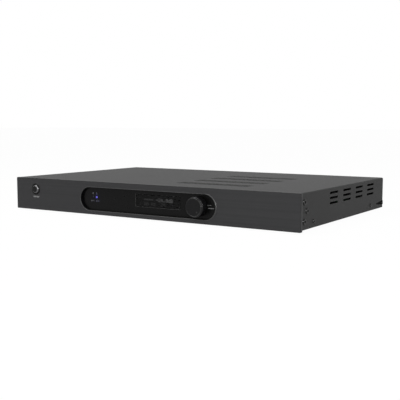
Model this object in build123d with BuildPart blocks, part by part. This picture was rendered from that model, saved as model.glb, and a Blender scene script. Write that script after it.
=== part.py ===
from build123d import *
import os
from math import cos, radians, sin

# One-unit-high subwoofer amplifier: sheet steel case, thick aluminium front, electronics inside.
# Millimetres. X runs to the right seen from the front, Y to the rear, Z up from the table.

# Front panel and case
panel_width = 440.0
panel_height = 43.8
panel_thickness = 4.0
panel_corner = 1.2
panel_edge = 0.4
panel_drop = 2.07
case_width = 439.0
case_height = 41.7
case_depth = 274.0
sheet = 1.2
bend = 1.8
foot_height = 4.0
knob_reach = 8.5
post_reach = 17.0

# Levels and depths that follow from them
panel_face_y = (knob_reach - case_depth - post_reach) / 2
case_bottom = foot_height
case_top = foot_height + case_height
panel_middle_z = case_bottom - panel_drop + panel_height / 2
tray_top = case_bottom + sheet
ceiling = case_top - sheet
rear_inset = 2.0
rear_face = case_depth - rear_inset
rear_front = rear_face - sheet
tray_width = case_width - 2 * sheet - 0.2
tray_depth = case_depth - panel_thickness - rear_inset

# Display opening in the front panel, with round ends
opening_x = 4.9
opening_z = case_bottom + 18.6
opening_length = 211.6
opening_height = 31.4
lining_wall = 1.0
lining_setback = 0.6
lining_gap = 0.05
bush_radius = 3.9
bezel_floor = 2.0
bezel_rim = 4.0
bezel_lip = 1.4

# Character display: window in the bezel, module behind it
window_x = 22.9
window_z = case_bottom + 20.8
window_width = 68.2
window_height = 16.0
window_thickness = 1.5
window_setback = 0.3
window_rim = 0.4
lcd_board_width = 80.0
lcd_board_height = 36.0
lcd_frame_width = 73.0
lcd_frame_height = 24.0
lcd_frame_depth = 6.8
board_thickness = 1.6

# Status lights left of the display
lens_spots = [(-75.7, case_bottom + 20.8), (-81.7, case_bottom + 20.8)]
lens_radius = 1.4

# Volume knob, pushed and turned
knob_x = 84.2
knob_z = opening_z
knob_radius = 12.25
knob_cap_radius = 11.2
knob_cap_depth = 1.4
knob_bevel_width = 1.0
knob_bevel_depth = 0.8
knob_groove_depth = 0.8
knob_groove_width = 0.7
knob_skirt_edge = 0.4
knob_wall = 1.6
knob_gap = 0.9
shaft_radius = 3.0
running_gap = 0.05
press_gap = 0.01
dimple_radius = 7.5
dimple_angle = -49.0
dimple_ball = 1.1
dimple_sink = 0.5

# Power button in its ring, left end of the panel
button_x = -182.8
button_z = case_bottom + 26.5
ring_radius = 7.9
ring_bore = 6.3
ring_body = 7.0
button_radius = 5.95
button_reach = 2.6
button_crown = 2.9
button_travel = 1.5

# Vents
top_vent_x = 77.25
top_vent_length = 105.5
top_vent_width = 3.2
top_vent_pitch = 6.6
top_vent_first = 50.0
side_vent_length = 26.0
side_vent_width = 2.7
side_vent_pitch = 6.2
side_vent_first = 95.0
side_vent_middle_z = case_bottom + 29.3
vent_group_pitch = 42.6
vent_groups = 4

# Notch in the rear edge of each side
notch_depth = 5.0
notch_height = 5.6
notch_z = 6.8

# Screws
ear_screw_spots = [(9.5, 31.2), (16.8, 20.8), (9.5, 9.2)]
ear_head_radius = 3.8
ear_head_height = 1.2
ear_shank_radius = 2.0
cover_screw_spots = [(35.5, 7.2), (225.5, 7.2)]
cover_head_radius = 2.9
cover_head_height = 1.1
small_shank_radius = 1.5
thread_gap = 0.15
hole_radius = small_shank_radius + thread_gap
foot_spots = [(-185.0, 32.0), (185.0, 32.0), (-185.0, 242.0), (185.0, 242.0)]
foot_radius = 10.0

# Rear connectors, left to right seen from the front
inlet_x = -186.0
inlet_z = case_bottom + 20.0
rocker_x = -146.0
rocker_z = case_bottom + 20.0
post_spots_x = [20.0, 42.0]
post_z = case_bottom + 20.4
mode_switch_x = 78.0
mode_switch_z = case_bottom + 14.0
mode_lever_width = 3.6
mode_travel = 2.5
jack_spots = [(104.0, case_bottom + 13.5), (122.0, case_bottom + 13.5)]
rca_spots = [
    (150.0, case_bottom + 12.6),
    (150.0, case_bottom + 28.2),
    (170.0, case_bottom + 12.6),
    (170.0, case_bottom + 28.2),
]

# Circuit boards inside
standoff_height = 6.0
board_bottom = tray_top + standoff_height
board_top = board_bottom + board_thickness

FRONTWARD = (0, -1, 0)
REARWARD = (0, 1, 0)


def at(depth):
    """Y of a point this far behind the panel's front face."""
    return panel_face_y + depth


def front_plane(depth):
    """Upright plane facing the front: its x is X and its y is Z."""
    return Plane.XZ.offset(-at(depth))


def side_plane(x):
    """Upright plane facing right: its x is Y and its y is Z."""
    return Plane.YZ.offset(x)


def block(x_range, depth_range, z_range, mode=Mode.ADD):
    """Square-edged block between two X, two depths and two Z values."""
    with BuildSketch(front_plane(depth_range[0])) as face:
        with Locations(((x_range[0] + x_range[1]) / 2, (z_range[0] + z_range[1]) / 2)):
            Rectangle(x_range[1] - x_range[0], z_range[1] - z_range[0])
    extrude(face.sketch, amount=depth_range[1] - depth_range[0], dir=REARWARD, mode=mode)


def front_cylinder(x, z, radius, depth_range, mode=Mode.ADD):
    """Cylinder along Y between two depths."""
    with BuildSketch(front_plane(depth_range[0])) as face:
        with Locations((x, z)):
            Circle(radius)
    extrude(face.sketch, amount=depth_range[1] - depth_range[0], dir=REARWARD, mode=mode)


def upright_cylinder(x, depth, radius, z_range, mode=Mode.ADD):
    """Cylinder along Z between two levels."""
    with BuildSketch(Plane.XY.offset(z_range[0])) as face:
        with Locations((x, at(depth))):
            Circle(radius)
    extrude(face.sketch, amount=z_range[1] - z_range[0], mode=mode)


def front_turned(x, z, outline):
    """Solid turned about a Y axis from (radius, depth) corners."""
    with BuildSketch(Plane(origin=(x, 0, z), x_dir=(1, 0, 0), z_dir=(0, 0, 1))) as half:
        with BuildLine():
            Polyline([(radius, at(depth)) for radius, depth in outline], close=True)
        make_face()
    revolve(half.sketch, axis=Axis((x, 0, z), (0, 1, 0)))


def wire_run(points, radius):
    """Insulated wire, ten-sided in section, along straight runs joined by arcs of two wire diameters."""
    with BuildLine() as route:
        FilletPolyline([(x, at(depth), z) for x, depth, z in points], radius=4 * radius)
    with BuildSketch(Plane(origin=route.line @ 0, z_dir=route.line % 0)) as section:
        RegularPolygon(radius, 10)
    sweep(section.sketch, path=route.line)


written = []


def write(builder, name):
    """Label a finished piece and write it under its own name."""
    builder.part.label = name
    export_step(builder.part, f"parts/{name}.step")
    written.append(name)


os.makedirs("parts", exist_ok=True)

# Front panel: thick brushed plate with the display opening and the button hole
with BuildPart() as front_panel:
    with BuildSketch(front_plane(0)):
        with Locations((0, panel_middle_z)):
            RectangleRounded(panel_width, panel_height, panel_corner)
        with Locations((opening_x, opening_z)):
            SlotOverall(opening_length, opening_height, mode=Mode.SUBTRACT)
        with Locations((button_x, button_z)):
            Circle(ring_body + 0.1, mode=Mode.SUBTRACT)
    extrude(amount=panel_thickness, dir=REARWARD)
    chamfer(front_panel.faces().sort_by(Axis.Y)[0].edges(), panel_edge)
write(front_panel, "front_panel")

# Top cover: one sheet bent down over both sides, vent slots punched in top and sides
with BuildPart() as top_cover:
    with BuildSketch(front_plane(panel_thickness)) as cover_section:
        with Locations((0, case_bottom)):
            Rectangle(case_width, case_height, align=(Align.CENTER, Align.MIN))
        fillet(cover_section.vertices().group_by(Axis.Y)[-1], bend)
        with BuildSketch(mode=Mode.SUBTRACT) as cover_hollow:
            with Locations((0, case_bottom)):
                Rectangle(case_width - 2 * sheet, case_height - sheet, align=(Align.CENTER, Align.MIN))
            fillet(cover_hollow.vertices().group_by(Axis.Y)[-1], bend - sheet)
    extrude(amount=case_depth - panel_thickness, dir=REARWARD)
    for group in range(vent_groups):
        with BuildSketch(Plane.XY.offset(case_top)):
            with Locations((top_vent_x, at(top_vent_first + group * vent_group_pitch))):
                with GridLocations(1, top_vent_pitch, 1, 3):
                    SlotOverall(top_vent_length, top_vent_width)
        extrude(amount=-2 * sheet, mode=Mode.SUBTRACT)
        with BuildSketch(side_plane(case_width / 2)):
            with Locations((at(side_vent_first + group * vent_group_pitch), side_vent_middle_z)):
                with GridLocations(1, side_vent_pitch, 1, 3):
                    SlotOverall(side_vent_length, side_vent_width)
        extrude(amount=-case_width, mode=Mode.SUBTRACT)
    with BuildSketch(side_plane(case_width / 2)):
        with Locations([(at(depth), case_bottom + z) for depth, z in ear_screw_spots]):
            Circle(ear_shank_radius + thread_gap)
        with Locations([(at(depth), case_bottom + z) for depth, z in cover_screw_spots]):
            Circle(hole_radius)
        with Locations((at(case_depth), case_bottom + notch_z)):
            Rectangle(2 * notch_depth, notch_height)
    extrude(amount=-case_width, mode=Mode.SUBTRACT)
write(top_cover, "top_cover")

# Chassis tray: floor, low side flanges, tall front corners and a front wall behind the panel
tray_side = tray_width / 2
flange_height = 12.0
corner_depth = 26.0
wall_top = ceiling - 0.8
floor_vent_x = (-150.0, top_vent_x)
floor_vent_depth = 150.0
with BuildPart() as chassis_tray:
    block((-tray_side, tray_side), (panel_thickness, panel_thickness + tray_depth), (case_bottom, tray_top))
    block((-tray_side, tray_side), (panel_thickness, panel_thickness + sheet), (tray_top, wall_top))
    for side in (-1, 1):
        edge = sorted((side * tray_side, side * (tray_side - sheet)))
        block(edge, (panel_thickness, rear_front), (tray_top, tray_top + flange_height))
        block(edge, (panel_thickness, corner_depth), (tray_top + flange_height, wall_top))
    with BuildSketch(front_plane(panel_thickness)):
        with Locations((opening_x, opening_z)):
            SlotOverall(opening_length + 2 * bezel_rim + 0.4, opening_height + 2 * bezel_lip + 0.2)
        with Locations((button_x, button_z)):
            Circle(ring_body + 1.6)
    extrude(amount=sheet, dir=REARWARD, mode=Mode.SUBTRACT)
    with BuildSketch(side_plane(tray_side)):
        with Locations([(at(depth), case_bottom + z) for depth, z in ear_screw_spots]):
            Circle(ear_shank_radius + thread_gap)
        with Locations([(at(depth), case_bottom + z) for depth, z in cover_screw_spots]):
            Circle(hole_radius)
    extrude(amount=-tray_width, mode=Mode.SUBTRACT)
    with BuildSketch(Plane.XY.offset(case_bottom)):
        for vent_x in floor_vent_x:
            with Locations((vent_x, at(floor_vent_depth))):
                with GridLocations(1, 14, 1, 6):
                    Rectangle(70, 3)
        with Locations([(x, at(depth)) for x, depth in foot_spots]):
            Circle(hole_radius)
    extrude(amount=sheet, mode=Mode.SUBTRACT)
write(chassis_tray, "chassis_tray")

# Display bezel: gloss black moulding that lines the opening and forms its floor
with BuildPart() as display_bezel:
    with BuildSketch(front_plane(panel_thickness)):
        with Locations((opening_x, opening_z)):
            SlotOverall(opening_length + 2 * bezel_rim, opening_height + 2 * bezel_lip)
    extrude(amount=bezel_floor, dir=REARWARD)
    with BuildSketch(front_plane(lining_setback)) as lining:
        with Locations((opening_x, opening_z)):
            SlotOverall(opening_length - 2 * lining_gap, opening_height - 2 * lining_gap)
        offset(lining.sketch, amount=lining_gap - lining_wall, mode=Mode.SUBTRACT)
    extrude(amount=panel_thickness - lining_setback, dir=REARWARD)
    with BuildSketch(front_plane(panel_thickness)):
        with Locations((window_x, window_z)):
            Rectangle(window_width, window_height)
    extrude(amount=bezel_floor, dir=REARWARD, mode=Mode.SUBTRACT)
    chamfer(display_bezel.edges(Select.LAST).group_by(Axis.Y)[0], window_rim)
    with BuildSketch(front_plane(panel_thickness)):
        with Locations(lens_spots):
            Circle(lens_radius + 0.1)
        with Locations((knob_x, knob_z)):
            Circle(bush_radius + 0.3)
    extrude(amount=bezel_floor, dir=REARWARD, mode=Mode.SUBTRACT)
write(display_bezel, "display_bezel")

# Display window: clear acrylic plate set just below the bezel's floor
window_front = panel_thickness + window_setback
with BuildPart() as display_window:
    block(
        (window_x - window_width / 2 + 0.1, window_x + window_width / 2 - 0.1),
        (window_front, window_front + window_thickness),
        (window_z - window_height / 2 + 0.1, window_z + window_height / 2 - 0.1),
    )
    chamfer(display_window.faces().sort_by(Axis.Y)[0].edges(), 0.3)
write(display_window, "display_window")

# Status light lenses: two short clear rods whose bevelled ends stand just proud of the bezel's floor
lens_front = panel_thickness - 0.5
lens_back = 13.6
lens_bevel = 0.4
with BuildPart() as status_light_lenses:
    for lens_x, lens_z in lens_spots:
        front_cylinder(lens_x, lens_z, lens_radius, (lens_front, lens_back))
    lens_faces = status_light_lenses.faces().filter_by(GeomType.PLANE)
    chamfer(lens_faces.group_by(Axis.Y)[0].edges(), lens_bevel)
write(status_light_lenses, "status_light_lenses")

# Display module: metal frame round the glass, on its own small board
lcd_front = panel_thickness + bezel_floor + 0.2
lcd_back = lcd_front + lcd_frame_depth
with BuildPart() as display_frame:
    block(
        (window_x - lcd_frame_width / 2, window_x + lcd_frame_width / 2),
        (lcd_front, lcd_back),
        (window_z - lcd_frame_height / 2, window_z + lcd_frame_height / 2),
    )
    block(
        (window_x - window_width / 2, window_x + window_width / 2),
        (lcd_front, lcd_back),
        (window_z - window_height / 2 - 0.5, window_z + window_height / 2 + 0.5),
        mode=Mode.SUBTRACT,
    )
write(display_frame, "display_frame")

with BuildPart() as display_glass:
    block(
        (window_x - window_width / 2 + 0.1, window_x + window_width / 2 - 0.1),
        (lcd_front + 0.8, lcd_front + 3.0),
        (window_z - window_height / 2 - 0.4, window_z + window_height / 2 + 0.4),
    )
write(display_glass, "display_glass")

front_board_depth = 17.6
with BuildPart() as display_board:
    block(
        (window_x - lcd_board_width / 2, window_x + lcd_board_width / 2),
        (lcd_back, lcd_back + board_thickness),
        (window_z - lcd_board_height / 2 + 0.6, window_z + lcd_board_height / 2 - 0.6),
    )
    for corner_x in (-1, 1):
        for corner_z in (-1, 1):
            front_cylinder(
                window_x + corner_x * (lcd_board_width / 2 - 3),
                window_z + corner_z * (lcd_board_height / 2 - 4),
                2.0,
                (lcd_back + board_thickness, front_board_depth),
            )
write(display_board, "display_board")

# Front board: carries the display, the lights, the knob's encoder and the power switch
with BuildPart() as front_board:
    block(
        (button_x - 12, knob_x + 20),
        (front_board_depth, front_board_depth + board_thickness),
        (tray_top + 1.5, ceiling - 3),
    )
write(front_board, "front_board")

# Lamps behind the lenses
lamp_half = 1.5
with BuildPart() as status_lamps:
    for lens_x, lens_z in lens_spots:
        block(
            (lens_x - lamp_half, lens_x + lamp_half),
            (lens_back + 0.1, front_board_depth),
            (lens_z - lamp_half, lens_z + lamp_half),
        )
write(status_lamps, "status_lamps")

# Encoder: moulded body with a threaded bush round the shaft, and a push switch at its back
shaft_front = -5.0
shaft_back = 13.0
pusher_travel = 0.5
pusher_front = shaft_back + 0.1
pusher_back = shaft_back + 2.4
encoder_front = 8.6
bush_front = panel_thickness + 0.2
well_back = pusher_back + pusher_travel + 0.1
with BuildPart() as encoder_body:
    block((knob_x - 6.2, knob_x + 6.2), (encoder_front, front_board_depth), (knob_z - 6.7, knob_z + 6.7))
    front_cylinder(knob_x, knob_z, bush_radius, (bush_front, encoder_front))
    front_cylinder(knob_x, knob_z, shaft_radius + running_gap, (bush_front, well_back), mode=Mode.SUBTRACT)
write(encoder_body, "encoder_body")

pusher_disc = 1.1
with BuildPart() as encoder_pusher:
    front_cylinder(knob_x, knob_z, 2.6, (pusher_front, pusher_front + pusher_disc))
    front_cylinder(knob_x, knob_z, 1.2, (pusher_front + pusher_disc, pusher_back))
write(encoder_pusher, "encoder_pusher")

shaft_flat = 1.5
knob_back = panel_thickness - knob_gap
with BuildPart() as encoder_shaft:
    front_cylinder(knob_x, knob_z, shaft_radius, (shaft_front, shaft_back))
    block(
        (knob_x - 4, knob_x + 4),
        (shaft_front, knob_back + 0.4),
        (knob_z + shaft_flat, knob_z + 4),
        mode=Mode.SUBTRACT,
    )
write(encoder_shaft, "encoder_shaft")

# Volume knob: turned cap and skirt with a groove between, a finger dimple, hollow at the back
cap_back = knob_cap_depth - knob_reach
groove_back = cap_back + knob_groove_width
hollow_front = -2.0
boss_radius = 5.4
with BuildPart() as volume_knob:
    front_turned(
        knob_x,
        knob_z,
        [
            (0, -knob_reach),
            (knob_cap_radius - knob_bevel_width, -knob_reach),
            (knob_cap_radius, -knob_reach + knob_bevel_depth),
            (knob_cap_radius, cap_back),
            (knob_cap_radius - knob_groove_depth, cap_back),
            (knob_cap_radius - knob_groove_depth, groove_back),
            (knob_radius - knob_skirt_edge, groove_back),
            (knob_radius, groove_back + knob_skirt_edge),
            (knob_radius, knob_back),
            (knob_radius - knob_wall, knob_back),
            (knob_radius - knob_wall, hollow_front),
            (boss_radius, hollow_front),
            (boss_radius, knob_back),
            (0, knob_back),
        ],
    )
    with BuildSketch(front_plane(shaft_front)):
        with Locations((knob_x, knob_z)):
            Circle(shaft_radius + press_gap)
        with Locations((knob_x, knob_z + shaft_flat + press_gap)):
            Rectangle(2.5 * shaft_radius, shaft_radius, align=(Align.CENTER, Align.MIN), mode=Mode.SUBTRACT)
    extrude(amount=knob_back - shaft_front, dir=REARWARD, mode=Mode.SUBTRACT)
    with Locations(
        (
            knob_x + dimple_radius * cos(radians(dimple_angle)),
            at(-knob_reach) - dimple_sink,
            knob_z + dimple_radius * sin(radians(dimple_angle)),
        )
    ):
        Sphere(dimple_ball, mode=Mode.SUBTRACT)
write(volume_knob, "volume_knob")

# Power button ring: black bush pressed into the panel, with a raised lip
ring_back = 8.0
with BuildPart() as power_button_ring:
    front_turned(
        button_x,
        button_z,
        [
            (ring_bore, -0.6),
            (ring_radius - 0.5, -0.6),
            (ring_radius, -0.1),
            (ring_radius, 0),
            (ring_body, 0),
            (ring_body, ring_back),
            (ring_bore, ring_back),
        ],
    )
write(power_button_ring, "power_button_ring")

# Power button: round cap with a domed rim about its flat middle, a collar behind the ring and a stem
collar_radius = button_radius + 0.9
button_collar = (ring_back + 0.3, ring_back + 1.1)
stem_radius = 1.8
stem_end = 12.5
with BuildPart() as power_button:
    front_turned(
        button_x,
        button_z,
        [
            (0, -button_reach),
            (button_radius, -button_reach),
            (button_radius, button_collar[0]),
            (collar_radius, button_collar[0]),
            (collar_radius, button_collar[1]),
            (stem_radius, button_collar[1]),
            (stem_radius, stem_end),
            (0, stem_end),
        ],
    )
    fillet(power_button.faces().sort_by(Axis.Y)[0].edges(), button_crown)
write(power_button, "power_button")

# Power switch: push switch on the front board, its plunger taken up by the button's stem
switch_front = stem_end + button_travel + 0.4
with BuildPart() as power_switch:
    block((button_x - 6, button_x + 6), (switch_front, front_board_depth), (button_z - 6, button_z + 6))
write(power_switch, "power_switch")

# Side screws: three a side at the front, where rack ears fasten, and two a side for the cover
screw_tip = 5.0
head_taper = 30.0
socket_share = 0.7


def side_screws(spots, head_radius, head_height, shank_radius, socket_width):
    """Screws with sloped heads and hexagon sockets, through both sides of the cover."""
    for side in (-1, 1):
        for depth, z in spots:
            origin = (side * case_width / 2, at(depth), case_bottom + z)
            spot = Plane(origin=origin, x_dir=REARWARD, z_dir=(side, 0, 0))
            with BuildSketch(spot) as head:
                Circle(head_radius)
            extrude(head.sketch, amount=head_height, taper=head_taper)
            with BuildSketch(spot) as shank:
                Circle(shank_radius)
            extrude(shank.sketch, amount=-screw_tip)
            with BuildSketch(spot.offset(head_height)) as socket:
                RegularPolygon(socket_width / 2, 6, major_radius=False)
            extrude(socket.sketch, amount=-head_height * socket_share, mode=Mode.SUBTRACT)


with BuildPart() as rack_ear_screws:
    side_screws(ear_screw_spots, ear_head_radius, ear_head_height, ear_shank_radius, 3.0)
write(rack_ear_screws, "rack_ear_screws")

with BuildPart() as cover_screws:
    side_screws(cover_screw_spots, cover_head_radius, cover_head_height, small_shank_radius, 2.0)
write(cover_screws, "cover_screws")

# Rubber feet under the tray, each with a sunk screw
foot_taper = 8.0
foot_well_radius = 3.6
foot_well_height = 2.2
foot_bore = (foot_well_height, foot_height)
with BuildPart() as rubber_feet:
    with BuildSketch(Plane.XY.offset(foot_height)):
        with Locations([(x, at(depth)) for x, depth in foot_spots]):
            Circle(foot_radius)
    extrude(amount=-foot_height, taper=foot_taper)
    for foot_x, foot_depth in foot_spots:
        upright_cylinder(foot_x, foot_depth, foot_well_radius, (0, foot_well_height), mode=Mode.SUBTRACT)
        upright_cylinder(foot_x, foot_depth, hole_radius, foot_bore, mode=Mode.SUBTRACT)
write(rubber_feet, "rubber_feet")

with BuildPart() as foot_screws:
    for foot_x, foot_depth in foot_spots:
        upright_cylinder(foot_x, foot_depth, 2.9, (foot_well_height - 1.5, foot_well_height))
        upright_cylinder(foot_x, foot_depth, small_shank_radius, (foot_well_height, tray_top + 3))
write(foot_screws, "foot_screws")

# Rear panel: flat plate with connector cut-outs and a foot lip on the tray
lip_front = rear_front - 5.0
rear_side = case_width / 2 - sheet - 0.3
inlet_width = 27.0
inlet_height = 30.0
rocker_width = 12.9
rocker_height = 19.2
jack_radius = 3.0
rca_neck = 4.6
post_neck = 4.0
with BuildPart() as rear_panel:
    block((-rear_side, rear_side), (rear_front, rear_face), (tray_top, ceiling - 0.2))
    block((-rear_side + 4, rear_side - 4), (lip_front, rear_front), (tray_top, tray_top + sheet))
    with BuildSketch(front_plane(rear_front)):
        with Locations((inlet_x, inlet_z)):
            Rectangle(inlet_width + 0.2, inlet_height + 0.2)
        with Locations((rocker_x, rocker_z)):
            Rectangle(rocker_width + 0.2, rocker_height + 0.2)
        with Locations((mode_switch_x, mode_switch_z)):
            Rectangle(mode_lever_width + 2 * mode_travel + 1.0, 4.2)
        with Locations(jack_spots):
            Circle(jack_radius + 0.1)
        with Locations(rca_spots):
            Circle(rca_neck + 0.1)
        with Locations([(x, post_z) for x in post_spots_x]):
            Circle(post_neck + 0.1)
    extrude(amount=sheet, dir=REARWARD, mode=Mode.SUBTRACT)
write(rear_panel, "rear_panel")

# Mains inlet: snap-in moulding with a socket for the mains lead above a fuse drawer
socket_z = inlet_z + 5.4
socket_width = 24.0
socket_height = 16.0
socket_depth = 15.0
drawer_z = inlet_z - 9.2
drawer_width = 23.0
drawer_height = 7.4
drawer_depth = 20.0
inlet_flange = 1.8
flange_face = rear_face + inlet_flange
inlet_back = rear_face - 22.0
with BuildPart() as mains_inlet:
    block(
        (inlet_x - inlet_width / 2, inlet_x + inlet_width / 2),
        (inlet_back, rear_face),
        (inlet_z - inlet_height / 2, inlet_z + inlet_height / 2),
    )
    block(
        (inlet_x - inlet_width / 2 - 1.8, inlet_x + inlet_width / 2 + 1.8),
        (rear_face, flange_face),
        (inlet_z - inlet_height / 2 - 1.2, inlet_z + inlet_height / 2 + 1.2),
    )
    with BuildSketch(front_plane(flange_face)) as socket_mouth:
        with Locations((inlet_x, socket_z)):
            Rectangle(socket_width, socket_height)
        chamfer(socket_mouth.vertices().group_by(Axis.Y)[-1], 4.5)
    extrude(amount=socket_depth, dir=FRONTWARD, mode=Mode.SUBTRACT)
    block(
        (inlet_x - drawer_width / 2, inlet_x + drawer_width / 2),
        (flange_face - drawer_depth, flange_face),
        (drawer_z - drawer_height / 2, drawer_z + drawer_height / 2),
        mode=Mode.SUBTRACT,
    )
write(mains_inlet, "mains_inlet")

# Contact blades inside the socket: live and neutral low, earth high
socket_floor = flange_face - socket_depth
blade_spots = [(-7.0, -2.0), (7.0, -2.0), (0.0, 3.6)]
with BuildPart() as inlet_blades:
    for blade_x, blade_z in blade_spots:
        block(
            (inlet_x + blade_x - 1.0, inlet_x + blade_x + 1.0),
            (socket_floor, flange_face - 3.5),
            (socket_z + blade_z - 2.0, socket_z + blade_z + 2.0),
        )
write(inlet_blades, "inlet_blades")

# Fuse drawer: shallow tray behind a front lip that a finger nail pulls
with BuildPart() as fuse_drawer:
    block(
        (inlet_x - drawer_width / 2 + 0.3, inlet_x + drawer_width / 2 - 0.3),
        (flange_face - drawer_depth + 0.5, flange_face),
        (drawer_z - drawer_height / 2 + 0.3, drawer_z + drawer_height / 2 - 0.3),
    )
    block(
        (inlet_x - drawer_width / 2 - 0.5, inlet_x + drawer_width / 2 + 0.5),
        (flange_face + 0.1, flange_face + 1.4),
        (drawer_z - drawer_height / 2 - 0.5, drawer_z + drawer_height / 2 + 0.5),
    )
    block(
        (inlet_x - drawer_width / 2 + 0.3, inlet_x + drawer_width / 2 - 0.3),
        (flange_face, flange_face + 0.1),
        (drawer_z - drawer_height / 2 + 0.3, drawer_z + drawer_height / 2 - 0.3),
    )
    block(
        (inlet_x - 10.3, inlet_x + 10.3),
        (flange_face - drawer_depth + 2.0, flange_face - 2.0),
        (drawer_z - 2.6, drawer_z + drawer_height / 2),
        mode=Mode.SUBTRACT,
    )
    block(
        (inlet_x - 4, inlet_x + 4),
        (flange_face + 0.6, flange_face + 1.4),
        (drawer_z + drawer_height / 2 - 1.2, drawer_z + drawer_height / 2 + 0.5),
        mode=Mode.SUBTRACT,
    )
write(fuse_drawer, "fuse_drawer")

# Mains fuse: 5 by 20 mm cartridge lying across the drawer
fuse_radius = 2.5
with BuildPart() as mains_fuse:
    with BuildSketch(side_plane(inlet_x - 10)):
        with Locations((at(flange_face - 10), drawer_z - 0.1)):
            Circle(fuse_radius)
    extrude(amount=20)
write(mains_fuse, "mains_fuse")

# Mains rocker switch: snap-in frame and a rocker that tips about two trunnions
rocker_face = rear_face + 1.6
pivot_depth = rear_face - 2.0
frame_depth = 13.0
well_width = 10.4
well_height = 16.6
rocker_gap = 0.3
trunnion_radius = 1.2
trunnion_length = 0.9
with BuildPart() as rocker_frame:
    block(
        (rocker_x - rocker_width / 2, rocker_x + rocker_width / 2),
        (rear_face - frame_depth, rear_face),
        (rocker_z - rocker_height / 2, rocker_z + rocker_height / 2),
    )
    block(
        (rocker_x - rocker_width / 2 - 1.2, rocker_x + rocker_width / 2 + 1.2),
        (rear_face, rocker_face),
        (rocker_z - rocker_height / 2 - 1.2, rocker_z + rocker_height / 2 + 1.2),
    )
    block(
        (rocker_x - well_width / 2, rocker_x + well_width / 2),
        (rear_face - frame_depth + 1.5, rocker_face),
        (rocker_z - well_height / 2, rocker_z + well_height / 2),
        mode=Mode.SUBTRACT,
    )
    with BuildSketch(side_plane(rocker_x - well_width / 2 - trunnion_length)):
        with Locations((at(pivot_depth), rocker_z)):
            Circle(trunnion_radius + running_gap)
    extrude(amount=well_width + 2 * trunnion_length, mode=Mode.SUBTRACT)
write(rocker_frame, "rocker_frame")

# The rocker stands with its upper half pressed in, in the off position
rocker_tilt = 10.0
trunnion_reach = trunnion_length - 0.1
rocker_left = rocker_x - well_width / 2 + rocker_gap
tilted = Plane(
    origin=(rocker_left, at(pivot_depth), rocker_z),
    x_dir=(0, cos(radians(rocker_tilt)), sin(radians(rocker_tilt))),
    z_dir=(1, 0, 0),
)
with BuildPart() as mains_rocker:
    with BuildSketch(tilted):
        with BuildLine():
            Polyline([(6.2, 6.9), (-4.5, 5.0), (-4.5, -5.0), (6.2, -6.9)])
            ThreePointArc((6.2, -6.9), (4.4, 0), (6.2, 6.9))
        make_face()
    extrude(amount=well_width - 2 * rocker_gap)
    with BuildSketch(tilted.offset(-rocker_gap - trunnion_reach)):
        Circle(trunnion_radius)
    extrude(amount=well_width + 2 * trunnion_reach)
write(mains_rocker, "mains_rocker")

# Mode slide switch: metal body behind the panel, lever through the slot
with BuildPart() as mode_switch_body:
    block(
        (mode_switch_x - 7, mode_switch_x + 7),
        (rear_front - 6.0, rear_front - 0.1),
        (mode_switch_z - 4, mode_switch_z + 4),
    )
    block(
        (mode_switch_x - 4.8, mode_switch_x + 4.8),
        (rear_front - 3.0, rear_front - 0.1),
        (mode_switch_z - 2.1, mode_switch_z + 2.1),
        mode=Mode.SUBTRACT,
    )
write(mode_switch_body, "mode_switch_body")

with BuildPart() as mode_switch_lever:
    block(
        (mode_switch_x - mode_lever_width / 2, mode_switch_x + mode_lever_width / 2),
        (rear_front - 2.6, rear_face + 2.4),
        (mode_switch_z - 1.75, mode_switch_z + 1.75),
    )
write(mode_switch_lever, "mode_switch_lever")

# Trigger jacks: threaded bush through the panel with a hexagon nut, block behind
jack_bore = 1.8
jack_end = rear_face + 3.4
with BuildPart() as trigger_jacks:
    for jack_x, jack_z in jack_spots:
        block((jack_x - 5, jack_x + 5), (rear_front - 12.0, rear_front), (jack_z - 4.5, jack_z + 4.5))
        front_cylinder(jack_x, jack_z, jack_radius, (rear_front, jack_end))
        front_cylinder(jack_x, jack_z, jack_bore, (rear_front - 10.0, jack_end), mode=Mode.SUBTRACT)
write(trigger_jacks, "trigger_jacks")

with BuildPart() as trigger_jack_nuts:
    for jack_x, jack_z in jack_spots:
        with BuildSketch(front_plane(rear_face)):
            with Locations((jack_x, jack_z)):
                RegularPolygon(4.0, 6, major_radius=False)
                Circle(jack_radius + 0.1, mode=Mode.SUBTRACT)
        extrude(amount=2.0, dir=REARWARD)
write(trigger_jack_nuts, "trigger_jack_nuts")

# Phono jacks, two over two: block on the input board, insulator and plated shell
shell_radius = 4.15
shell_bore = 3.4
shell_reach = 9.0
pin_hole = 1.6
insulator_end = rear_face + shell_reach - 0.8
with BuildPart() as rca_block:
    block((141.5, 178.5), (rear_front - 12.0, rear_front - 0.1), (board_top, case_bottom + 35.5))
write(rca_block, "rca_block")

with BuildPart() as rca_insulators:
    for rca_x, rca_z in rca_spots:
        front_cylinder(rca_x, rca_z, rca_neck, (rear_front, rear_face))
        front_cylinder(rca_x, rca_z, shell_bore - 0.02, (rear_face, insulator_end))
        front_cylinder(rca_x, rca_z, pin_hole, (rear_front, insulator_end), mode=Mode.SUBTRACT)
write(rca_insulators, "rca_insulators")

with BuildPart() as rca_shells:
    for rca_x, rca_z in rca_spots:
        front_cylinder(rca_x, rca_z, shell_radius, (rear_face, rear_face + shell_reach))
        front_cylinder(rca_x, rca_z, shell_bore, (rear_face, rear_face + shell_reach), mode=Mode.SUBTRACT)
write(rca_shells, "rca_shells")

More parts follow.
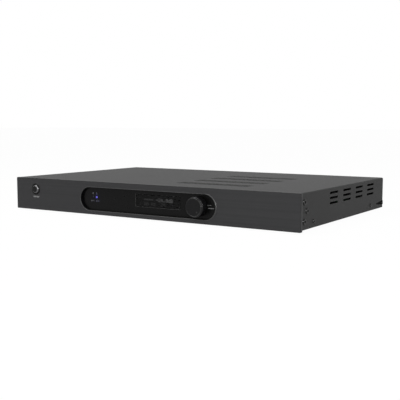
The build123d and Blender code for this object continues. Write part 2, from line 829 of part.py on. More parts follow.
# Speaker posts: insulating base, plated stud with a banana socket, loose collar, fluted cap
base_radius = 7.5
base_height = 3.0
stud_radius = 3.0
banana_radius = 2.0
collar_height = 1.2
cap_radius = 6.6
collar_front = rear_face + base_height + 0.05
cap_front = collar_front + collar_height + 0.1
post_end = case_depth + post_reach
stud_front = rear_front - 12.0
stud_end = post_end - 0.6
banana_floor = stud_end - 18.0
with BuildPart() as post_bases:
    for post_x in post_spots_x:
        front_turned(
            post_x,
            post_z,
            [
                (stud_radius + 0.02, rear_front - 2.0),
                (post_neck, rear_front - 2.0),
                (post_neck, rear_face),
                (base_radius, rear_face),
                (base_radius, rear_face + base_height - 0.8),
                (base_radius - 0.8, rear_face + base_height),
                (stud_radius + 0.02, rear_face + base_height),
            ],
        )
write(post_bases, "post_bases")

with BuildPart() as post_studs:
    for post_x in post_spots_x:
        front_cylinder(post_x, post_z, stud_radius, (stud_front, stud_end))
        front_cylinder(post_x, post_z, banana_radius, (banana_floor, stud_end), mode=Mode.SUBTRACT)
write(post_studs, "post_studs")

for post_x, post_name in zip(post_spots_x, ("left", "right")):
    with BuildPart() as post_collar:
        with BuildSketch(front_plane(collar_front)):
            with Locations((post_x, post_z)):
                Circle(cap_radius - 0.6)
                Circle(stud_radius + running_gap, mode=Mode.SUBTRACT)
        extrude(amount=collar_height, dir=REARWARD)
    write(post_collar, f"post_collar_{post_name}")

    with BuildPart() as post_cap:
        with BuildSketch(front_plane(cap_front)):
            with Locations((post_x, post_z)):
                Circle(cap_radius)
                Circle(stud_radius + running_gap, mode=Mode.SUBTRACT)
                with PolarLocations(cap_radius + 0.5, 10):
                    Circle(1.3, mode=Mode.SUBTRACT)
        extrude(amount=post_end - cap_front, dir=REARWARD)
    write(post_cap, f"post_cap_{post_name}")

# Power supply: board with transformer, capacitors, mains filter choke and a plate heat sink
supply_board_x = (-208.0, -92.0)
supply_board_depth = (66.0, 238.0)
amp_board_x = (-40.0, 208.0)
amp_board_depth = (42.0, 206.0)
input_board_x = (62.0, 208.0)
input_board_depth = (214.0, rear_front - 5.0)


def board(x_range, depth_range):
    """Level circuit board on its standoffs, with a screw hole in each corner."""
    block(x_range, depth_range, (board_bottom, board_top))
    with BuildSketch(Plane.XY.offset(board_bottom)) as holes:
        with Locations([(x, at(depth)) for x, depth in board_corners(x_range, depth_range)]):
            Circle(hole_radius)
    extrude(holes.sketch, amount=board_thickness, mode=Mode.SUBTRACT)


def board_corners(x_range, depth_range):
    """Places of the four board screws, 5 mm in from the corners."""
    return [
        (x_range[i] + (5 if i == 0 else -5), depth_range[j] + (5 if j == 0 else -5))
        for i in (0, 1)
        for j in (0, 1)
    ]


with BuildPart() as supply_board:
    board(supply_board_x, supply_board_depth)
write(supply_board, "supply_board")

with BuildPart() as amplifier_board:
    board(amp_board_x, amp_board_depth)
write(amplifier_board, "amplifier_board")

with BuildPart() as input_board:
    board(input_board_x, input_board_depth)
write(input_board, "input_board")

all_corners = (
    board_corners(supply_board_x, supply_board_depth)
    + board_corners(amp_board_x, amp_board_depth)
    + board_corners(input_board_x, input_board_depth)
)
with BuildPart() as board_standoffs:
    with BuildSketch(Plane.XY.offset(tray_top)):
        with Locations([(x, at(depth)) for x, depth in all_corners]):
            RegularPolygon(2.9, 6, major_radius=False)
    extrude(amount=standoff_height)
    with BuildSketch(Plane.XY.offset(board_bottom)):
        with Locations([(x, at(depth)) for x, depth in all_corners]):
            Circle(hole_radius)
    extrude(amount=-4.5, mode=Mode.SUBTRACT)
write(board_standoffs, "board_standoffs")

with BuildPart() as board_screws:
    for screw_x, screw_depth in all_corners:
        upright_cylinder(screw_x, screw_depth, small_shank_radius, (board_bottom - 4.0, board_top))
    with BuildSketch(Plane.XY.offset(board_top)):
        with Locations([(x, at(depth)) for x, depth in all_corners]):
            RegularPolygon(2.75, 6, major_radius=False)
    extrude(amount=1.8)
write(board_screws, "board_screws")

# Transformer: ferrite core with three legs round a wound bobbin
core_x = -150.0
core_depth = 150.0
core_width = 42.0
core_length = 16.0
core_height = 26.0
core_window_width = 8.5
core_window_height = 17.0
core_window_offset = 10.75
coil_levels = (board_top + 5.8, board_top + 22.2)
with BuildPart() as transformer_core:
    with BuildSketch(front_plane(core_depth - core_length / 2)):
        with Locations((core_x, board_top + 14)):
            Rectangle(core_width, core_height)
            with GridLocations(2 * core_window_offset, 1, 2, 1):
                Rectangle(core_window_width, core_window_height, mode=Mode.SUBTRACT)
    extrude(amount=core_length, dir=REARWARD)
write(transformer_core, "transformer_core")

with BuildPart() as transformer_coil:
    with BuildSketch(Plane.XY.offset(coil_levels[0])):
        with Locations((core_x, at(core_depth))):
            RectangleRounded(29.4, 28.0, 5.0)
            Rectangle(13.0, core_length, mode=Mode.SUBTRACT)
    extrude(amount=coil_levels[1] - coil_levels[0])
write(transformer_coil, "transformer_coil")

with BuildPart() as bulk_capacitors:
    for capacitor_depth in (92.0, 116.0):
        upright_cylinder(-120.0, capacitor_depth, 10.0, (board_top, board_top + 26))
write(bulk_capacitors, "bulk_capacitors")


def wound_ring(x, depth, radius, bore, height, bevel):
    """Wound ring core lying flat on its board, its upper edges bevelled where the turns come over."""
    upright_cylinder(x, depth, radius, (board_top, board_top + height - bevel))
    with BuildSketch(Plane.XY.offset(board_top + height - bevel)) as shoulder:
        with Locations((x, at(depth))):
            Circle(radius)
    extrude(shoulder.sketch, amount=bevel, taper=45)
    upright_cylinder(x, depth, bore, (board_top, board_top + height), mode=Mode.SUBTRACT)


with BuildPart() as mains_filter_choke:
    wound_ring(-178.0, 206.0, 12.5, 5.0, 11.0, 2.0)
write(mains_filter_choke, "mains_filter_choke")

plate_x = (-196.0, -193.0)
plate_fin_pitch = 13.5
plate_levels = (board_top, board_top + 26)
with BuildPart() as rectifier_heat_sink:
    block(plate_x, (84.0, 146.0), plate_levels)
    for fin in range(5):
        fin_front = 86.0 + fin * plate_fin_pitch
        block((plate_x[1], plate_x[1] + 9), (fin_front, fin_front + 2), plate_levels)
write(rectifier_heat_sink, "rectifier_heat_sink")

# Amplifier: finned heat sink under the top vents, power devices clamped below its base
sink_x = (top_vent_x - 58.0, top_vent_x + 58.0)
sink_depth = (50.0, 196.0)
sink_bottom = board_top + 5.0
sink_base = 5.0
fin_count = 13
fin_thickness = 2.0
fin_top = ceiling - 2.5
with BuildPart() as heat_sink:
    block(sink_x, sink_depth, (sink_bottom, sink_bottom + sink_base))
    with BuildSketch(front_plane(sink_depth[0])):
        with Locations((top_vent_x, (sink_bottom + sink_base + fin_top) / 2)):
            with GridLocations((sink_x[1] - sink_x[0] - fin_thickness) / (fin_count - 1), 1, fin_count, 1):
                Rectangle(fin_thickness, fin_top - sink_bottom - sink_base)
    extrude(amount=sink_depth[1] - sink_depth[0], dir=REARWARD)
write(heat_sink, "heat_sink")

with BuildPart() as power_transistors:
    for device in range(4):
        device_depth = 74.0 + device * 32.0
        block((top_vent_x - 8, top_vent_x + 8), (device_depth, device_depth + 20), (board_top, sink_bottom))
write(power_transistors, "power_transistors")

with BuildPart() as output_inductors:
    for inductor_depth in (84.0, 124.0):
        wound_ring(172.0, inductor_depth, 14.0, 6.0, 17.0, 2.5)
write(output_inductors, "output_inductors")

with BuildPart() as filter_capacitors:
    for capacitor_depth in (156.0, 176.0):
        block((160.0, 184.0), (capacitor_depth, capacitor_depth + 12), (board_top, board_top + 18))
write(filter_capacitors, "filter_capacitors")

chip_levels = (board_top, board_top + 1.6)
with BuildPart() as signal_processors:
    block((78.0, 92.0), (224.0, 238.0), chip_levels)
    block((112.0, 124.0), (224.0, 236.0), chip_levels)
write(signal_processors, "signal_processors")

# Wiring: mains leads, speaker leads and the flat cable from the front board
wire_radius = 1.3
mains_wire_x = -190.0
mains_wire_z = inlet_z + 2
with BuildPart() as mains_wires:
    for wire_x in (mains_wire_x, mains_wire_x + 8):
        wire_run(
            [
                (wire_x, inlet_back, mains_wire_z),
                (wire_x, inlet_back - 12, mains_wire_z),
                (wire_x, inlet_back - 12, board_top),
            ],
            wire_radius,
        )
write(mains_wires, "mains_wires")

speaker_pad_depth = 201.0
with BuildPart() as speaker_wires:
    for post_x in post_spots_x:
        wire_run(
            [
                (post_x, stud_front, post_z),
                (post_x, speaker_pad_depth, post_z),
                (post_x, speaker_pad_depth, board_top),
            ],
            wire_radius,
        )
write(speaker_wires, "speaker_wires")

ribbon_width = 18.0
ribbon_thickness = 0.8
ribbon_x = -66.0
ribbon_start_z = tray_top + 12
ribbon_floor_z = tray_top + 1
with BuildPart() as ribbon_cable:
    with BuildLine() as ribbon_route:
        FilletPolyline(
            [
                (ribbon_x, at(front_board_depth + board_thickness), ribbon_start_z),
                (ribbon_x, at(front_board_depth + 9), ribbon_start_z),
                (ribbon_x, at(front_board_depth + 9), ribbon_floor_z),
                (ribbon_x, at(236), ribbon_floor_z),
            ],
            radius=3,
        )
    with BuildSketch(Plane(origin=ribbon_route.line @ 0, x_dir=(1, 0, 0), z_dir=REARWARD)):
        Rectangle(ribbon_width, ribbon_thickness)
    sweep(path=ribbon_route.line)
write(ribbon_cable, "ribbon_cable")

print(len(written), "pieces written")
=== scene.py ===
import math

import bmesh
import bpy
from mathutils import Matrix, Vector


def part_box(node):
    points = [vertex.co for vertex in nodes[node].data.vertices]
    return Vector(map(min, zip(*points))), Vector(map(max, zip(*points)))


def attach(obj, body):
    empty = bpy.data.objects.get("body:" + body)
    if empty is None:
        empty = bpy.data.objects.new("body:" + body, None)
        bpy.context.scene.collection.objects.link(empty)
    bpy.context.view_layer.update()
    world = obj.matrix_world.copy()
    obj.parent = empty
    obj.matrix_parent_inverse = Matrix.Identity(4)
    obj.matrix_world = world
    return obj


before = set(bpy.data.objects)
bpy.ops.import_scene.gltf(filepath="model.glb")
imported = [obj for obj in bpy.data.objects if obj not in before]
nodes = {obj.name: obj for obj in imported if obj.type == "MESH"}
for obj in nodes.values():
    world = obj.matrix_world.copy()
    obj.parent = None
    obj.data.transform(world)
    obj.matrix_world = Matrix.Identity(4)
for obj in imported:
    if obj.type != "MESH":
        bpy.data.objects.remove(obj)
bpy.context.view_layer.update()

# Top cover, tray and rear panel: 1.2 mm sheet steel, punched with the slots, then bent.
# All three are powder coated satin black: a fine pebbled skin that scatters light into a soft
# grey sheen where it is seen at a low angle, as the top is.
mm = 0.001


def linear(code):
    """sRGB hex colour as linear RGBA."""
    values = [int(code[i:i + 2], 16) / 255 for i in (0, 2, 4)]
    return [v / 12.92 if v <= 0.04045 else ((v + 0.055) / 1.055) ** 2.4 for v in values] + [1.0]


def add(tree, kind, inputs=None, links=None, **settings):
    """New shader node with its settings, its input values and the sockets that feed it."""
    made = tree.nodes.new(kind)
    for name, value in settings.items():
        setattr(made, name, value)
    for name, value in (inputs or {}).items():
        made.inputs[name].default_value = value
    for name, source in (links or {}).items():
        tree.links.new(source, made.inputs[name])
    return made


def finish(name, shades, patch, roughness, grain, relief=0.0, stretch=(1.0, 1.0, 1.0), **values):
    """Material that drifts between two shades in patches, with a grain in its gloss and its skin.

    Patch and grain are feature sizes and relief the grain's depth, all in millimetres.
    Roughness is its lowest and highest. A stretch under 1 draws the pattern out along an axis.
    The other values go to the shader's sockets of those names.
    """
    material = bpy.data.materials.new(name)
    material.use_nodes = True
    tree = material.node_tree
    shader = tree.nodes["Principled BSDF"]
    for socket, value in values.items():
        shader.inputs[socket.replace("_", " ")].default_value = value
    place = add(tree, "ShaderNodeTexCoord").outputs["Object"]
    mapping = add(tree, "ShaderNodeMapping", {"Scale": stretch}, {"Vector": place}, name="drawn")
    drawn = mapping.outputs["Vector"]

    broad = {"Scale": 1 / (patch * mm), "Detail": 3.0}
    patches = add(tree, "ShaderNodeTexNoise", broad, {"Vector": drawn})
    colours = {"Color1": linear(shades[0]), "Color2": linear(shades[1])}
    mixed = add(tree, "ShaderNodeMixRGB", colours, {"Fac": patches.outputs["Fac"]}, name="shades")
    tree.links.new(mixed.outputs["Color"], shader.inputs["Base Color"])

    fine = {"Scale": 1 / (grain * mm), "Detail": 2.0}
    specks = add(tree, "ShaderNodeTexNoise", fine, {"Vector": drawn})
    noise_low, noise_high = 0.3, 0.7
    lowest, highest = roughness
    ends = {"From Min": noise_low, "From Max": noise_high, "To Min": lowest, "To Max": highest}
    spread = add(tree, "ShaderNodeMapRange", ends, {"Value": specks.outputs["Fac"]})
    tree.links.new(spread.outputs["Result"], shader.inputs["Roughness"])
    if relief:
        depth = {"Strength": 1.0, "Distance": relief * mm}
        skin = add(tree, "ShaderNodeBump", depth, {"Height": specks.outputs["Fac"]}, name="skin")
        tree.links.new(skin.outputs["Normal"], shader.inputs["Normal"])
    return material


def wear(material, *names):
    """Gives CAD nodes this material in place of their own."""
    for name in names:
        nodes[name].data.materials.clear()
        nodes[name].data.materials.append(material)


powder = finish(
    "powder_coated_steel", ("232323", "2b2b2b"), patch=70.0, roughness=(0.48, 0.58), grain=0.9,
    relief=0.01, IOR=1.5, Specular_IOR_Level=0.085)
wear(powder, "top_cover", "chassis_tray", "rear_panel")

# Front panel: 4 mm aluminium plate, brushed along its length, black anodised after milling.
# The brushing draws faint level streaks and spreads highlights up and down the plate.
# Streaks are 0.4 mm wide, coarser than the real 0.1 mm lines, which would not show.
anodised = finish(
    "black_anodised_aluminium", ("222223", "2d2d2e"), patch=3.0, roughness=(0.48, 0.58), grain=0.4,
    relief=0.004, stretch=(0.006, 1.0, 1.0), IOR=1.5, Specular_IOR_Level=0.2)
wear(anodised, "front_panel")


def painted_edge_shade_and_highlight(material, code):
    """Paints the 45 degree edges of a material's nodes in a tone of their own: painted shade where it
    is darker, painted highlight where it is lighter.
    """
    tree = material.node_tree
    slant = math.cos(math.radians(45))
    tolerance = 0.1
    faces = add(tree, "ShaderNodeNewGeometry")
    slope = add(tree, "ShaderNodeSeparateXYZ", links={"Vector": faces.outputs["True Normal"]})
    tilt = add(tree, "ShaderNodeMath", links={0: slope.outputs["Y"]}, operation="ABSOLUTE")
    edge = add(
        tree, "ShaderNodeMath", {1: slant, 2: tolerance}, {0: tilt.outputs["Value"]},
        operation="COMPARE")
    tones = {"Fac": edge.outputs["Value"], "Color1": tree.nodes["shades"].outputs["Color"]}
    mixed = add(tree, "ShaderNodeMixRGB", {"Color2": linear(code)}, tones)
    tree.links.new(mixed.outputs["Color"], tree.nodes["Principled BSDF"].inputs["Base Color"])


# Painted shade: the panel's chamfers are darkened, so that they catch no line of light.
painted_edge_shade_and_highlight(anodised, "080808")

# Display bezel: black ABS, injection moulded in a polished and lightly blasted tool, that lines the
# opening and forms its floor, a deep black with a soft gloss. A bead lacquered black closes the gap
# to the panel. It swells round the knob's end, where it catches a thin line of light.
bezel_black = finish(
    "gloss_abs", ("050505", "080808"), patch=8.0, roughness=(0.26, 0.34), grain=2.0,
    IOR=1.5, Specular_IOR_Level=0.1)
wear(bezel_black, "display_bezel")
# Painted highlight: the bezel's chamfers, such as those round the window, are lightened into thin
# lines of light.
painted_edge_shade_and_highlight(bezel_black, "2c2c2c")


def placed(name, data):
    """New object in the scene for this mesh, curve, lamp or camera."""
    made = bpy.data.objects.new(name, data)
    bpy.context.collection.objects.link(made)
    return made


lacquer = finish(
    "black_lacquer", ("060606", "0a0a0a"), patch=5.0, roughness=(0.34, 0.42), grain=1.0,
    IOR=1.5, Specular_IOR_Level=0.7)
bead_radius = 1.0 * mm
bead_outset = 0.05 * mm
bead_depth = 0.45 * mm
# Shares of the bead's radius, along most of it and at the middle of the knob's end.
slim_share = 0.55
full_share = 1.3
opening_half_length = 105.8 * mm
opening_half_height = 15.7 * mm
round_steps = 24
lining_low, lining_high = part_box("display_bezel")
bead_middle = (lining_low + lining_high) / 2
panel_low, panel_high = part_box("front_panel")
bead_line = bpy.data.curves.new("opening_bead", "CURVE")
bead_line.dimensions = "3D"
bead_line.bevel_depth = bead_radius
bead_line.bevel_resolution = 3
run = bead_line.splines.new("POLY")
run.points.add(2 * (round_steps + 1) - 1)
run.use_cyclic_u = True
reach = opening_half_height + bead_outset
for index, point in enumerate(run.points):
    side = 1 if index <= round_steps else -1
    bend = math.pi * (index % (round_steps + 1)) / round_steps - math.pi / 2
    point.co = (
        bead_middle.x + side * (opening_half_length - opening_half_height + reach * math.cos(bend)),
        panel_low.y + bead_depth,
        bead_middle.z + side * reach * math.sin(bend),
        1.0)
    swell = math.cos(bend) if side > 0 else 0.0
    point.radius = slim_share + (full_share - slim_share) * swell
bead = placed("opening_bead", bead_line)
bead_line.materials.append(lacquer)
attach(bead, "chassis")

# Display window: laser cut smoked acrylic, hard coated against glare, over the display.
# The coat cuts its reflection to about that of an IOR of 1.2, so it only darkens what lies behind.
acrylic = finish(
    "smoked_acrylic", ("535353", "595959"), patch=20.0, roughness=(0.03, 0.06), grain=6.0,
    IOR=1.2, Transmission_Weight=1.0)
wear(acrylic, "display_window")

# Display: negative liquid crystal cell in a painted frame, nearly black, with a faint grid of dots.
# The characters are built from 5 by 7 dots at 0.62 mm that let a little grey light through.
dot_pitch = 0.62 * mm
dot_size = 0.54 * mm
gap_share = 0.08
cell = finish(
    "liquid_crystal_glass", ("0b0b0d", "0e0e11"), patch=15.0, roughness=(0.25, 0.35), grain=15.0,
    IOR=1.5, Specular_IOR_Level=0.1)
tree = cell.node_tree
# Brick texture lies in X and Y, so it is turned to stand up in the glass.
upright = tree.nodes["drawn"]
upright.inputs["Rotation"].default_value = (math.radians(90), 0, 0)
cell_shade = tree.nodes["shades"].outputs["Color"]
grid = add(
    tree, "ShaderNodeTexBrick",
    {"Scale": 1 / dot_pitch, "Brick Width": 1.0, "Row Height": 1.0, "Mortar Size": gap_share,
     "Mortar": linear("070708")},
    {"Vector": upright.outputs["Vector"], "Color1": cell_shade, "Color2": cell_shade},
    offset=0.0)
tree.links.new(grid.outputs["Color"], tree.nodes["Principled BSDF"].inputs["Base Color"])
wear(cell, "display_glass")

frame_paint = finish(
    "painted_display_frame", ("0c0c0c", "121212"), patch=3.0, roughness=(0.5, 0.6), grain=1.0,
    IOR=1.5)
wear(frame_paint, "display_frame")

dots_of = {
    "0": ("01110", "10001", "10011", "10101", "11001", "10001", "01110"),
    "2": ("01110", "10001", "00001", "00110", "01000", "10000", "11111"),
    "4": ("00010", "00110", "01010", "10010", "11111", "00010", "00010"),
    "8": ("01110", "10001", "10001", "01110", "10001", "10001", "01110"),
    "-": ("00000", "00000", "00000", "11111", "00000", "00000", "00000"),
    "d": ("00001", "00001", "01101", "10011", "10001", "10001", "01111"),
    "B": ("11110", "10001", "10001", "11110", "10001", "10001", "11110"),
    "H": ("10001", "10001", "10001", "11111", "10001", "10001", "10001"),
    "z": ("00000", "00000", "11111", "00010", "00100", "01000", "11111"),
    ".": ("00000", "00000", "00000", "00000", "00000", "01100", "01100"),
    "=": ("00000", "00000", "11111", "11111", "11111", "00000", "00000"),
}


def built(name, shape):
    """New piece from a bmesh, which it uses up."""
    mesh = bpy.data.meshes.new(name)
    shape.to_mesh(mesh)
    shape.free()
    return placed(name, mesh)


def plates(name, rectangles, y):
    """Flat front-facing plates at one Y, from (x, z, width, height) in metres, as one piece."""
    shape = bmesh.new()
    for x, z, width, height in rectangles:
        left, right = x - width / 2, x + width / 2
        low, high = z - height / 2, z + height / 2
        corners = ((left, low), (right, low), (right, high), (left, high))
        shape.faces.new([shape.verts.new((corner_x, y, corner_z)) for corner_x, corner_z in corners])
    return built(name, shape)


bright_dots = finish(
    "lit_dots", ("8c9098", "9a9ea6"), patch=2.0, roughness=(0.35, 0.45), grain=1.0,
    Emission_Color=linear("a8a8a8"), Emission_Strength=2.8)
faint_dots = finish(
    "faint_dots", ("4a4c52", "55585e"), patch=2.0, roughness=(0.35, 0.45), grain=1.0,
    Emission_Color=linear("7e7e7e"), Emission_Strength=1.5)
print_lift = 0.04 * mm
left_margin = 11.7 * mm
top_margin = 5.2 * mm
row_pitch = 5.4 * mm
character_pitch = 6 * dot_pitch
glass_low, glass_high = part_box("display_glass")
first_column = glass_low.x + left_margin
upper_row = glass_high.z - top_margin
lower_row = upper_row - row_pitch
readings = (
    ("level_reading", "     -24.0dB", upper_row, bright_dots),
    ("level_bar", "====", upper_row, faint_dots),
    ("crossover_reading", "80 Hz  24", lower_row, faint_dots),
)
for name, text, top, material in readings:
    squares = []
    for index, letter in enumerate(text):
        for row, line in enumerate(dots_of.get(letter, ())):
            for column, dot in enumerate(line):
                if dot == "1":
                    x = first_column + index * character_pitch + column * dot_pitch
                    squares.append((x, top - row * dot_pitch, dot_size, dot_size))
    piece = plates(name, squares, glass_low.y - print_lift)
    piece.data.materials.append(material)
    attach(piece, "chassis")

# Status lights: two clear acrylic light pipes with bevelled ends, set in the bezel.
# The right one is lit violet blue by its lamp and throws a small pool of light round its foot.
lens_low, lens_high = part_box("status_light_lenses")
lens_middle = (lens_low + lens_high) / 2
lens_radius = (lens_high.z - lens_low.z) / 2
first_lens_x = lens_low.x + lens_radius
second_lens_x = lens_high.x - lens_radius
pipe = finish(
    "clear_acrylic_pipe", ("0b0b0e", "0e0e12"), patch=2.0, roughness=(0.2, 0.3), grain=1.0,
    IOR=1.49, Specular_IOR_Level=0.1, Emission_Color=linear("665ec6"))
tree = pipe.node_tree
sides = add(tree, "ShaderNodeSeparateXYZ", links={"Vector": tree.nodes["drawn"].outputs["Vector"]})
right_side = add(
    tree, "ShaderNodeMath", {1: lens_middle.x}, {0: sides.outputs["X"]}, operation="GREATER_THAN")
tree.links.new(right_side.outputs["Value"], tree.nodes["Principled BSDF"].inputs["Emission Strength"])
wear(pipe, "status_light_lenses")

pool_standoff = 2.0 * mm
pool = placed("status_pool", bpy.data.lights.new("status_pool", "POINT"))
pool.data.energy = 0.003
pool.data.color = linear("1818ff")[:3]
pool.data.shadow_soft_size = 0.8 * mm
pool.location = (second_lens_x, lens_low.y - pool_standoff, lens_middle.z)
pool.visible_glossy = False

# Status lamps: light emitting diodes in white packages, soldered to the board behind the pipes.
# The packages are moulded from a matt white resin that throws the light forward.
lamp_body = finish(
    "lamp_package", ("d8d8d4", "e6e6e2"), patch=1.0, roughness=(0.35, 0.45), grain=1.0, IOR=1.5)
wear(lamp_body, "status_lamps")

# Volume knob: turned aluminium, black anodised, with a groove round its cap and a drilled dimple,
# in which a grey disc is a painted highlight for the light it catches. The lathe leaves fine rings,
# which draw the light out sideways.
# The cap's front edge and the shoulder are cut smooth, and each draws a thin line of light.
knob_low, knob_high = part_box("volume_knob")
knob_middle = (knob_low + knob_high) / 2
turned = finish(
    "turned_black_aluminium", ("0a0a0b", "0e0e0f"), patch=4.0, roughness=(0.28, 0.36), grain=2.0,
    relief=0.002, IOR=1.5, Specular_IOR_Level=0.13)
# The rings are 0.35 mm apart, coarser than real 0.1 mm feed marks, so that they show. They follow
# the distance from the axis plus the depth, so the knob's face and its side both have them.
ring_pitch = 0.35 * mm
tree = turned.node_tree
from_axis = add(
    tree, "ShaderNodeVectorMath", {1: knob_middle},
    {0: tree.nodes["drawn"].outputs["Vector"]}, operation="SUBTRACT")
along = add(tree, "ShaderNodeSeparateXYZ", links={"Vector": from_axis.outputs["Vector"]})
across = add(tree, "ShaderNodeCombineXYZ", links={"X": along.outputs["X"], "Z": along.outputs["Z"]})
distance = add(tree, "ShaderNodeVectorMath", links={0: across.outputs["Vector"]}, operation="LENGTH")
travel = add(
    tree, "ShaderNodeMath", links={0: distance.outputs["Value"], 1: along.outputs["Y"]},
    operation="ADD")
angle = add(
    tree, "ShaderNodeMath", {1: 2 * math.pi / ring_pitch}, {0: travel.outputs["Value"]},
    operation="MULTIPLY")
rings = add(tree, "ShaderNodeMath", links={0: angle.outputs["Value"]}, operation="SINE")
tree.links.new(rings.outputs["Value"], tree.nodes["skin"].inputs["Height"])
wear(turned, "volume_knob")

lathe_steps = 64


def lathe(name, outline, front, closed):
    """Piece turned about the Y axis through front, from (radius, depth) points in millimetres.

    A closed outline gives a ring, and an open one a disc with a flat middle.
    """
    shape = bmesh.new()
    rows = []
    for step in range(lathe_steps):
        swing = 2 * math.pi * step / lathe_steps
        rows.append([
            shape.verts.new((
                front.x + radius * mm * math.cos(swing),
                front.y + depth * mm,
                front.z + radius * mm * math.sin(swing)))
            for radius, depth in outline])
    for row, following in zip(rows, rows[1:] + rows[:1]):
        for index in range(len(outline) if closed else len(outline) - 1):
            further = (index + 1) % len(outline)
            shape.faces.new([row[index], row[further], following[further], following[index]])
    if not closed:
        shape.faces.new([row[0] for row in reversed(rows)])
    bmesh.ops.recalc_face_normals(shape, faces=shape.faces)
    for face in shape.faces:
        face.smooth = True
    return built(name, shape)


knob_face = Vector((knob_middle.x, knob_low.y, knob_middle.z))
shoulder = [
    (10.9, 1.44), (11.02, 1.44), (11.9, 2.14), (12.28, 2.5), (12.29, 3.0), (12.2, 3.1), (12.1, 2.9),
    (10.9, 2.1)]
knob_shoulder = lathe("knob_shoulder", shoulder, knob_face, closed=True)
shoulder_black = finish(
    "fine_turned_black_aluminium", ("111112", "151516"), patch=4.0, roughness=(0.26, 0.32),
    grain=2.0, IOR=1.5, Specular_IOR_Level=0.16)
knob_shoulder.data.materials.append(shoulder_black)
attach(knob_shoulder, "volume_knob")

bevel = [(10.24, 0.01), (11.23, 0.8), (11.23, 1.35), (11.0, 1.35), (11.0, 0.9)]
cap_bevel = lathe("knob_cap_bevel", bevel, knob_face, closed=True)
bevel_cut = finish(
    "diamond_cut_black_aluminium", ("0c0c0d", "101011"), patch=4.0, roughness=(0.14, 0.18),
    grain=2.0, IOR=1.5, Specular_IOR_Level=0.36)
cap_bevel.data.materials.append(bevel_cut)
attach(cap_bevel, "volume_knob")

# Painted highlight: a grey disc in the dimple stands in for the light that the hollow catches.
dimple_distance = 7.5 * mm
dimple_angle = math.radians(-49)
dimple_way = Vector((math.cos(dimple_angle), 0, math.sin(dimple_angle)))
glint_disc = [(0.5, 0.14), (0.9, 0.1)]
dimple_glint = lathe(
    "knob_dimple_glint", glint_disc, knob_face + dimple_distance * dimple_way, closed=False)
dimple_glint_grey = finish(
    "painted_dimple_glint", ("222222", "2a2a2a"), patch=1.0, roughness=(0.5, 0.6), grain=0.5,
    IOR=1.5, Specular_IOR_Level=0.2)
dimple_glint.data.materials.append(dimple_glint_grey)
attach(dimple_glint, "volume_knob")

# Encoder shaft and mode switch shell: bare steel, the one ground and the other pressed from sheet.
# Nothing covers the metal, so it shines a plain cool grey.
steel = finish(
    "bare_steel", ("8c8c8a", "9c9c9a"), patch=5.0, roughness=(0.3, 0.4), grain=1.5, Metallic=1.0)
wear(steel, "encoder_shaft", "mode_switch_body")

# Power button: moulded ABS cap, its domed rim plated in black chrome round a matt black middle,
# in a black ring pressed into the panel. The plated rim carries a bright crescent.
black_chrome = finish(
    "black_chrome_plated_abs", ("5a5a5b", "646465"), patch=3.0, roughness=(0.26, 0.34), grain=0.8,
    Metallic=1.0)
wear(black_chrome, "power_button")

inlay_black = finish(
    "matt_black_inlay", ("0c0c0c", "121212"), patch=3.0, roughness=(0.45, 0.55), grain=0.8,
    IOR=1.5, Specular_IOR_Level=0.12)
flat_radius = 3.05
crown_radius = 2.9
inlay_lift = 0.03
inlay_leans = [math.radians(lean) for lean in (0, 6, 12, 18, 24)]
crown = [
    (flat_radius + (crown_radius + inlay_lift) * math.sin(lean),
     crown_radius - (crown_radius + inlay_lift) * math.cos(lean))
    for lean in inlay_leans]
button_low, button_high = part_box("power_button")
button_middle = (button_low + button_high) / 2
button_face = Vector((button_middle.x, button_low.y, button_middle.z))
inlay = lathe("button_inlay", crown, button_face, closed=False)
inlay.data.materials.append(inlay_black)
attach(inlay, "power_button")

ring_black = finish(
    "polished_black_abs", ("080808", "0c0c0c"), patch=4.0, roughness=(0.3, 0.4), grain=1.0,
    IOR=1.5, Specular_IOR_Level=0.12)
wear(ring_black, "power_button_ring")

# Moulded parts: nylon and ABS from spark textured tools, for the rear connectors, the switches and
# the housings inside. The texture leaves a dry, even black. One post cap is red, to tell the wires
# apart, and the encoder's pusher and the phono insulators are left white.
moulded = finish(
    "textured_black_nylon", ("131313", "1a1a1a"), patch=10.0, roughness=(0.4, 0.52), grain=0.6,
    relief=0.004, IOR=1.53)
wear(
    moulded, "encoder_body", "power_switch", "mains_inlet", "fuse_drawer", "rocker_frame",
    "mains_rocker", "mode_switch_lever", "trigger_jacks", "rca_block", "post_bases",
    "post_cap_left", "bulk_capacitors", "power_transistors", "signal_processors")

red = finish(
    "red_nylon", ("8e1512", "a01a16"), patch=6.0, roughness=(0.3, 0.4), grain=0.8, IOR=1.53)
wear(red, "post_cap_right")

white = finish(
    "white_nylon", ("d5d3cc", "e2e0da"), patch=6.0, roughness=(0.35, 0.45), grain=1.0, IOR=1.53)
wear(white, "encoder_pusher", "rca_insulators")

# Printed marks: level bars and plain marks beside the controls, screen printed in pale or dark grey.
# The ink is a matt film a few hundredths of a millimetre thick, and its strokes spread a little.
ink = finish(
    "pale_grey_ink", ("8f8f8f", "a2a2a2"), patch=0.8, roughness=(0.55, 0.65), grain=0.5, IOR=1.5)
dim_ink = finish(
    "dark_grey_ink", ("4c4c4c", "565656"), patch=0.8, roughness=(0.55, 0.65), grain=0.5, IOR=1.5)
ink_depth = 0.01 * mm
stroke_gain = 0.06 * mm
capital_share = 0.7
panel_print = panel_low.y - print_lift
floor_print = panel_high.y - print_lift
case_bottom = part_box("top_cover")[0].z

# Each bar is its middle's x, its height above the case's bottom, its length and its width.
index_bars = ((101.55, 17.1, 8.1, 1.0), (98.8, 20.6, 6.4, 0.6))
bars = plates(
    "knob_index_bars",
    [(x * mm, case_bottom + z * mm, length * mm, width * mm) for x, z, length, width in index_bars],
    floor_print)
bars.data.materials.append(dim_ink)
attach(bars, "chassis")

button_mark_place = (button_middle.x + 0.6 * mm, panel_print, case_bottom + 15.9 * mm)
first_number_place = (first_lens_x, floor_print, case_bottom + 25.5 * mm)
second_number_place = (second_lens_x, floor_print, case_bottom + 25.5 * mm)
light_states_place = (lens_middle.x, floor_print, case_bottom + 15.7 * mm)
